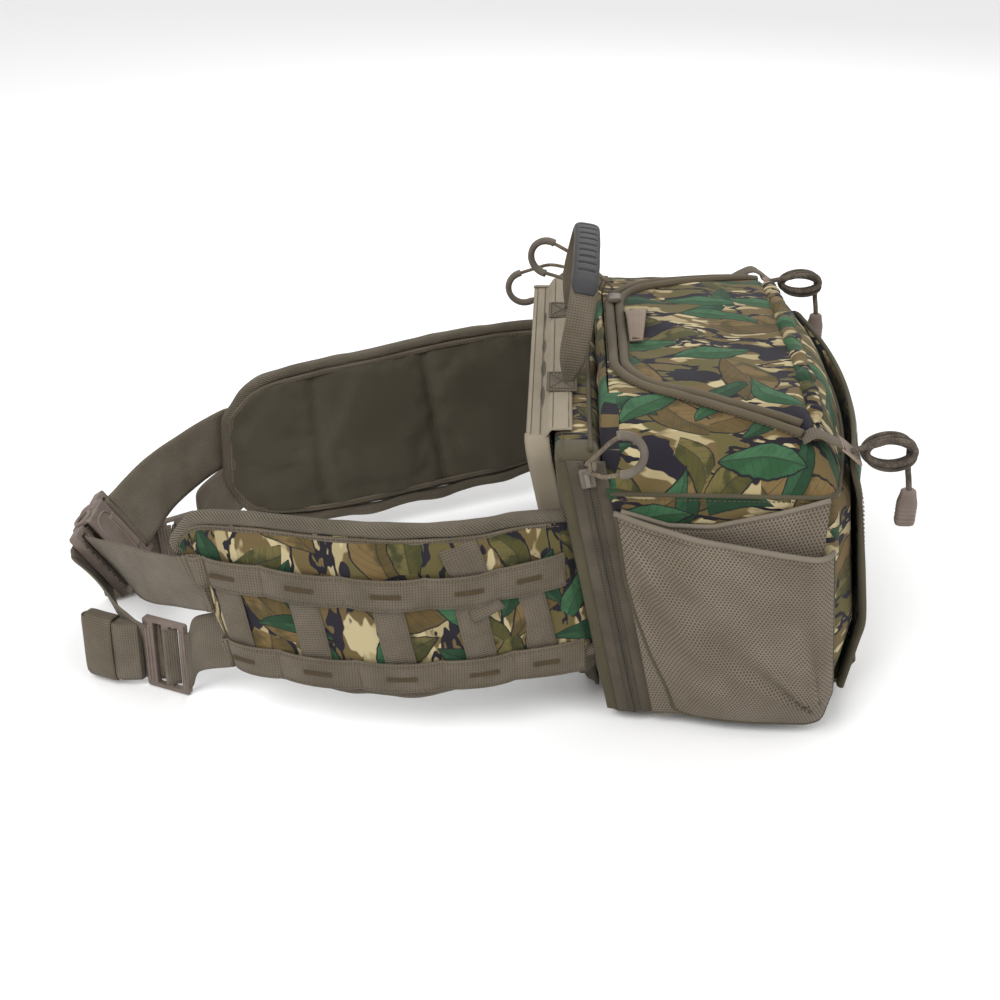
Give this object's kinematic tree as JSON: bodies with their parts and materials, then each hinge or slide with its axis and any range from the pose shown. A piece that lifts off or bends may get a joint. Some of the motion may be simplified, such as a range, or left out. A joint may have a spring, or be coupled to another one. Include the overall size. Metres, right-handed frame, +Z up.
{
  "type": "hunting waist pack",
  "caption": "Waist pack with a hinged zipped lid, padded belt wings with attachment webbing, a carry handle, mesh side pockets and a buckled belt.",
  "frame": {"origin": "centre of the bag's base, on the surface it stands on", "axes": "+Z up; +X away from the wearer's back, through the front carry flap; +Y to the wearer's right"},
  "size_m": [0.6156, 0.433, 0.2966],
  "materials": {
    "camo_fabric": "printed woven polyester, matt",
    "pad_fabric": "plain woven nylon, matt",
    "mesh_fabric": "knitted stretch mesh, matt",
    "webbing": "ribbed woven webbing, matt",
    "binding_tape": "diagonal rib grosgrain, matt",
    "lining": "plain lining",
    "zip_coil": "nylon coil on tape",
    "slider_metal": "dull painted zinc",
    "buckle_plastic": "fine grained acetal",
    "grip_rubber": "moulded rubber, satin",
    "cord_braid": "braided cord",
    "sleeve_rubber": "smooth moulded rubber",
    "frame_plastic": "polyethylene sheet"
  },
  "bodies": {
    "bag": {"base_panel": "camo_fabric", "top_panel": "camo_fabric", "side_panels": "camo_fabric", "front_panel": "camo_fabric", "rear_wall": "lining", "lid_zip_outer_welt": "zip_coil", "rear_pocket": "pad_fabric", "frame_sheet": "frame_plastic", "lumbar_pad": "pad_fabric", "zip_tapes": "zip_coil", "left_mesh_pocket": "mesh_fabric", "right_mesh_pocket": "mesh_fabric", "carry_flap": "camo_fabric", "carry_flap_binding": "binding_tape", "corner_webs": "webbing", "corner_tabs": "webbing", "left_cord_hank": "cord_braid", "right_cord_hank": "cord_braid", "left_cord_lead": "cord_braid", "right_cord_lead": "cord_braid", "left_cord_end": "buckle_plastic", "right_cord_end": "buckle_plastic", "handle_patches": "webbing"},
    "lid": {"lid_panel": "camo_fabric", "lid_zip_inner_welt": "zip_coil", "lid_pull_tab": "webbing", "lid_zip_slider": "slider_metal", "lid_pull_cord": "cord_braid", "lid_pull_sleeve": "sleeve_rubber"},
    "handle": {"handle_web": "webbing", "handle_grip": "grip_rubber"},
    "left_zip": {"left_zip_slider": "slider_metal", "left_pull_cord": "cord_braid", "left_pull_sleeve": "sleeve_rubber"},
    "right_zip": {"right_zip_slider": "slider_metal", "right_pull_cord": "cord_braid", "right_pull_sleeve": "sleeve_rubber"},
    "left_belt": {"left_wing_pad": "pad_fabric", "left_wing_binding": "binding_tape", "left_molle_rows": "webbing", "left_molle_slats": "webbing", "left_upper_strap": "webbing", "left_lower_strap": "webbing", "left_return_strap": "webbing", "left_ladder_lock": "buckle_plastic", "left_tail_stack": "webbing", "buckle_male": "buckle_plastic"},
    "right_belt": {"right_wing_pad": "pad_fabric", "right_wing_binding": "binding_tape", "right_molle_rows": "webbing", "right_molle_slats": "webbing", "right_upper_strap": "webbing", "right_lower_strap": "webbing", "right_return_strap": "webbing", "right_ladder_lock": "buckle_plastic", "right_tail_stack": "webbing", "buckle_female": "buckle_plastic"},
    "prong_upper": {"buckle_prong_upper": "buckle_plastic"},
    "prong_lower": {"buckle_prong_lower": "buckle_plastic"}
  },
  "joints": [
    {"name": "lid_hinge", "type": "hinge", "parent": "bag", "child": "lid", "pos_m": [0.077, 0, 0.2245], "axis": [0, 1, 0], "range_deg": [0, 100]},
    {"name": "handle_swing", "type": "hinge", "parent": "bag", "child": "handle", "pos_m": [-0.088, 0, 0.2166], "axis": [0, 1, 0], "range_deg": [-60, 15]},
    {"name": "left_zip_slide", "type": "slide", "parent": "bag", "child": "left_zip", "axis": [0.2055, 0, -0.9787], "range_m": [0, 0.179]},
    {"name": "right_zip_slide", "type": "slide", "parent": "bag", "child": "right_zip", "axis": [0.2055, 0, -0.9787], "range_m": [0, 0.1775]},
    {"name": "left_wing_swing", "type": "hinge", "parent": "bag", "child": "left_belt", "pos_m": [-0.07, -0.178, 0.105], "axis": [0, 0, 1], "range_deg": [0, 38]},
    {"name": "right_wing_swing", "type": "hinge", "parent": "bag", "child": "right_belt", "pos_m": [-0.07, 0.178, 0.105], "axis": [0, 0, -1], "range_deg": [0, 38]},
    {"name": "prong_upper_flex", "type": "hinge", "parent": "left_belt", "child": "prong_upper", "pos_m": [-0.44931, -0.08524, 0.0867], "axis": [-0.8286, 0.028, -0.5591], "range_deg": [0, 7], "stiffness_Nm_per_rad": 0.05},
    {"name": "prong_lower_flex", "type": "hinge", "parent": "left_belt", "child": "prong_lower", "pos_m": [-0.42669, -0.08356, 0.05326], "axis": [0.8286, -0.028, 0.5591], "range_deg": [0, 7], "stiffness_Nm_per_rad": 0.05}
  ]
}
